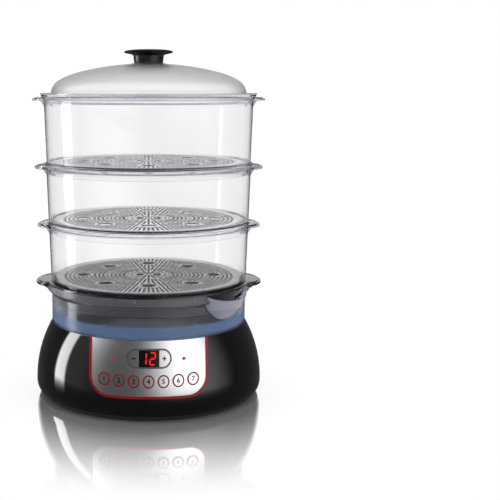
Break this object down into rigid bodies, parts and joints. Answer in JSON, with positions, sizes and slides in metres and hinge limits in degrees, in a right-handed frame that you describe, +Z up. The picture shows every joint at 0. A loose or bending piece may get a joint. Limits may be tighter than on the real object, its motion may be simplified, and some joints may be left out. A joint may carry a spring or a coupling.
{
  "type": "electric food steamer",
  "caption": "Electric food steamer: flared base with keypad, display and clear water tank with spout, drip tray, stacked clear bowls with lift-out perforated floors, domed lid with knob.",
  "frame": {"origin": "centre of the footprint on the table, under the axis of the stack", "axes": "+Z up along the axis of the stack, -Y towards the control panel, +X towards the user's right"},
  "size_m": [0.2748, 0.2733, 0.4113],
  "materials": {
    "housing_black": "high gloss moulded plastic",
    "cover_black": "fine textured moulded plastic",
    "foot_rubber": "soft matt rubber",
    "screw_steel": "zinc plated steel",
    "panel_metal": "vertically shaded brushed sheet",
    "trim_red": "gloss deep red plastic",
    "bezel_grey": "gloss dark grey plastic",
    "window_black": "smoked clear plastic",
    "module_white": "white moulded housing",
    "lamp_red": "translucent red plastic",
    "board_green": "green solder resist",
    "switch_black": "black moulded plastic",
    "tank_clear": "clear plastic with a cool tint",
    "heater_steel": "drawn stainless steel",
    "seal_silicone": "translucent silicone",
    "element_steel": "dull oxidised steel sheath",
    "thermostat_black": "dark phenolic",
    "transformer_iron": "varnished iron core",
    "relay_blue": "blue moulded case",
    "capacitor_can": "sleeved aluminium can",
    "gland_black": "black elastomer",
    "cable_grey": "grey flat cable",
    "tray_smoke": "smoked gloss plastic",
    "bowl_clear": "clear plastic",
    "floor_clear": "clear plastic with a grey cast",
    "lid_frost": "frosted translucent plastic",
    "knob_black": "satin black plastic",
    "key_silver": "satin silver lacquer"
  },
  "bodies": {
    "base": {"base_shell": "housing_black", "bottom_cover": "cover_black", "rubber_feet": "foot_rubber", "cover_screws": "screw_steel", "control_panel": "panel_metal", "panel_trim": "trim_red", "display_bezel": "bezel_grey", "display_window": "window_black", "display_module": "module_white", "button_rings": "trim_red", "indicator_lamps": "lamp_red", "control_board": "board_green", "board_screws": "screw_steel", "button_switches": "switch_black", "water_tank": "tank_clear", "tank_retainer": "screw_steel", "heater_plate": "heater_steel", "heater_seal": "seal_silicone", "heater_screws": "screw_steel", "heater_element": "element_steel", "thermostat": "thermostat_black", "power_board": "board_green", "power_board_screws": "screw_steel", "transformer": "transformer_iron", "relay": "relay_blue", "capacitor": "capacitor_can", "cord_gland": "gland_black", "ribbon_cable": "cable_grey"},
    "drip_tray": {"drip_tray": "tray_smoke"},
    "bowl_1": {"bowl_1": "bowl_clear"},
    "floor_1": {"floor_1": "floor_clear"},
    "bowl_2": {"bowl_2": "bowl_clear"},
    "floor_2": {"floor_2": "floor_clear"},
    "bowl_3": {"bowl_3": "bowl_clear"},
    "floor_3": {"floor_3": "floor_clear"},
    "lid": {"lid_dome": "lid_frost", "lid_knob": "knob_black", "knob_screw": "screw_steel"},
    "minus_button": {"minus_button": "key_silver"},
    "plus_button": {"plus_button": "key_silver"},
    "preset_button_1": {"preset_button_1": "key_silver"},
    "preset_button_2": {"preset_button_2": "key_silver"},
    "preset_button_3": {"preset_button_3": "key_silver"},
    "preset_button_4": {"preset_button_4": "key_silver"},
    "preset_button_5": {"preset_button_5": "key_silver"},
    "preset_button_6": {"preset_button_6": "key_silver"},
    "preset_button_7": {"preset_button_7": "key_silver"}
  },
  "joints": [
    {"name": "drip_tray_lift", "type": "slide", "parent": "base", "child": "drip_tray", "axis": [0, 0, 1], "range_m": [0, 0.06]},
    {"name": "bowl_1_lift", "type": "slide", "parent": "drip_tray", "child": "bowl_1", "axis": [0, 0, 1], "range_m": [0, 0.09]},
    {"name": "bowl_2_lift", "type": "slide", "parent": "bowl_1", "child": "bowl_2", "axis": [0, 0, 1], "range_m": [0, 0.09]},
    {"name": "bowl_3_lift", "type": "slide", "parent": "bowl_2", "child": "bowl_3", "axis": [0, 0, 1], "range_m": [0, 0.09]},
    {"name": "lid_lift", "type": "slide", "parent": "bowl_3", "child": "lid", "axis": [0, 0, 1], "range_m": [0, 0.1]},
    {"name": "floor_1_lift", "type": "slide", "parent": "bowl_1", "child": "floor_1", "axis": [0, 0, 1], "range_m": [0, 0.03]},
    {"name": "floor_2_lift", "type": "slide", "parent": "bowl_2", "child": "floor_2", "axis": [0, 0, 1], "range_m": [0, 0.03]},
    {"name": "floor_3_lift", "type": "slide", "parent": "bowl_3", "child": "floor_3", "axis": [0, 0, 1], "range_m": [0, 0.03]},
    {"name": "minus_press", "type": "slide", "parent": "base", "child": "minus_button", "axis": [0, 1, 0], "range_m": [0, 0.0008], "stiffness_N_per_m": 400, "springref_m": -0.0004},
    {"name": "plus_press", "type": "slide", "parent": "base", "child": "plus_button", "axis": [0, 1, 0], "range_m": [0, 0.0008], "stiffness_N_per_m": 400, "springref_m": -0.0004},
    {"name": "preset_press_1", "type": "slide", "parent": "base", "child": "preset_button_1", "axis": [0, 1, 0], "range_m": [0, 0.0008], "stiffness_N_per_m": 400, "springref_m": -0.0004},
    {"name": "preset_press_2", "type": "slide", "parent": "base", "child": "preset_button_2", "axis": [0, 1, 0], "range_m": [0, 0.0008], "stiffness_N_per_m": 400, "springref_m": -0.0004},
    {"name": "preset_press_3", "type": "slide", "parent": "base", "child": "preset_button_3", "axis": [0, 1, 0], "range_m": [0, 0.0008], "stiffness_N_per_m": 400, "springref_m": -0.0004},
    {"name": "preset_press_4", "type": "slide", "parent": "base", "child": "preset_button_4", "axis": [0, 1, 0], "range_m": [0, 0.0008], "stiffness_N_per_m": 400, "springref_m": -0.0004},
    {"name": "preset_press_5", "type": "slide", "parent": "base", "child": "preset_button_5", "axis": [0, 1, 0], "range_m": [0, 0.0008], "stiffness_N_per_m": 400, "springref_m": -0.0004},
    {"name": "preset_press_6", "type": "slide", "parent": "base", "child": "preset_button_6", "axis": [0, 1, 0], "range_m": [0, 0.0008], "stiffness_N_per_m": 400, "springref_m": -0.0004},
    {"name": "preset_press_7", "type": "slide", "parent": "base", "child": "preset_button_7", "axis": [0, 1, 0], "range_m": [0, 0.0008], "stiffness_N_per_m": 400, "springref_m": -0.0004}
  ]
}
